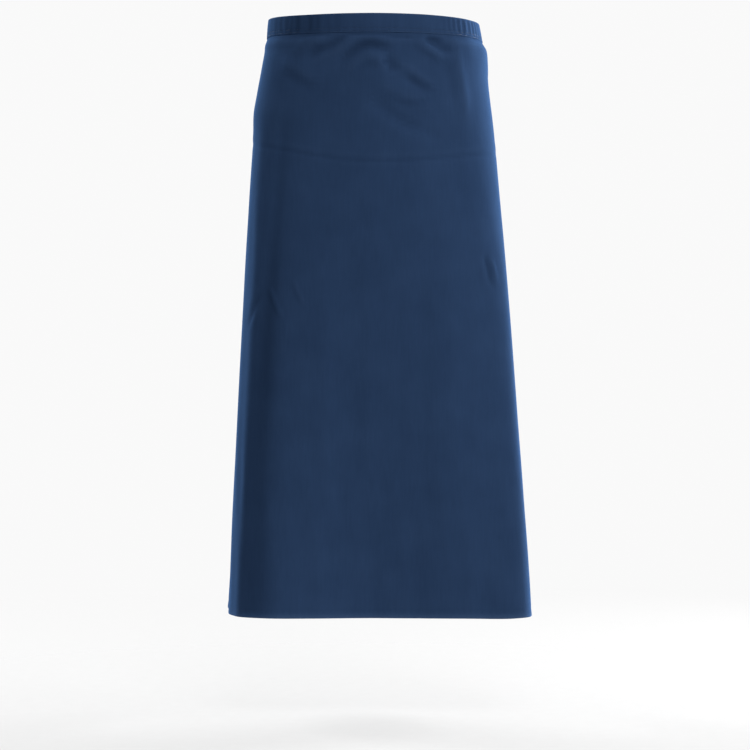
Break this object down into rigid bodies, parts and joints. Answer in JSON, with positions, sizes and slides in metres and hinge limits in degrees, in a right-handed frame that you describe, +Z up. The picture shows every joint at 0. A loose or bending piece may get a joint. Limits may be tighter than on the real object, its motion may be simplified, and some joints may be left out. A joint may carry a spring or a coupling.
{
  "type": "long waist apron",
  "caption": "Long navy waist apron in plain twill, draped as worn, with a folded waistband, turned hems and ties knotted in a bow behind.",
  "frame": {"origin": "centre of the waist opening, half-way up the waistband, on the centre line of the front", "axes": "+Z up, -Y out of the front of the apron, +X to the right as seen from the front"},
  "size_m": [0.4993, 0.3479, 0.9999],
  "materials": {
    "twill": "smooth matt twill",
    "thread": "polyester sewing thread with a soft sheen",
    "interlining": "matt non-woven stiffener",
    "label": "white satin ribbon, blank"
  },
  "bodies": {
    "apron": {"skirt_panel": "twill", "bottom_hem": "twill", "side_hem_left": "twill", "side_hem_right": "twill", "waistband": "twill", "tie_lead_left": "twill", "tie_lead_right": "twill", "bow_knot": "twill", "bow_loop_left": "twill", "bow_loop_right": "twill", "band_stitch_lower": "thread", "band_stitch_upper": "thread", "hem_stitch": "thread", "side_stitch_left": "thread", "side_stitch_right": "thread", "tie_bartack_left": "thread", "tie_bartack_right": "thread", "hem_bartack_left": "thread", "hem_bartack_right": "thread", "waistband_interlining": "interlining", "care_label": "label"},
    "tail_left": {"tie_tail_left": "twill", "tie_end_stitch_left": "thread"},
    "tail_right": {"tie_tail_right": "twill", "tie_end_stitch_right": "thread"}
  },
  "joints": [
    {"name": "tail_left_swing", "type": "hinge", "parent": "apron", "child": "tail_left", "pos_m": [-0.011, 0.157, -0.0131], "axis": [1, 0, 0], "range_deg": [0, 90]},
    {"name": "tail_right_swing", "type": "hinge", "parent": "apron", "child": "tail_right", "pos_m": [0.011, 0.157, -0.0131], "axis": [1, 0, 0], "range_deg": [0, 90]}
  ]
}
